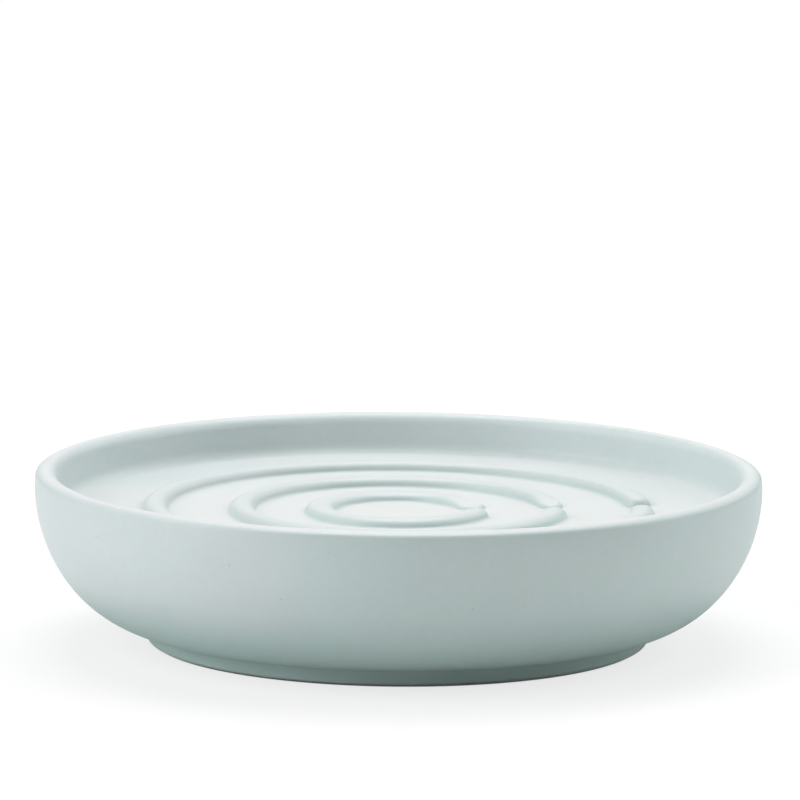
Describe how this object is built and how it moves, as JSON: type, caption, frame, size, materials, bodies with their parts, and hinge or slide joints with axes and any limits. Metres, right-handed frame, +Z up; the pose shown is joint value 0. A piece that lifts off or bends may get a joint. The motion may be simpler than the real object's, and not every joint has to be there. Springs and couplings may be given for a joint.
{
  "type": "soap dish",
  "caption": "Shallow round stoneware soap dish on a low foot ring, with raised rings that lift the soap and a radial slot that drains between them.",
  "frame": {"origin": "centre of the resting plane, under the middle of the dish", "axes": "+Z up out of the well, -Y towards the viewer of the picture, +X to its right; the drain slot runs out about 3 degrees behind +X"},
  "size_m": [0.12, 0.12, 0.0286],
  "materials": {
    "dish_body": "matte",
    "non_slip_pad": "matte"
  },
  "bodies": {
    "root": {"dish_body": "dish_body", "non_slip_pad_1": "non_slip_pad", "non_slip_pad_2": "non_slip_pad", "non_slip_pad_3": "non_slip_pad", "non_slip_pad_4": "non_slip_pad"}
  },
  "joints": []
}
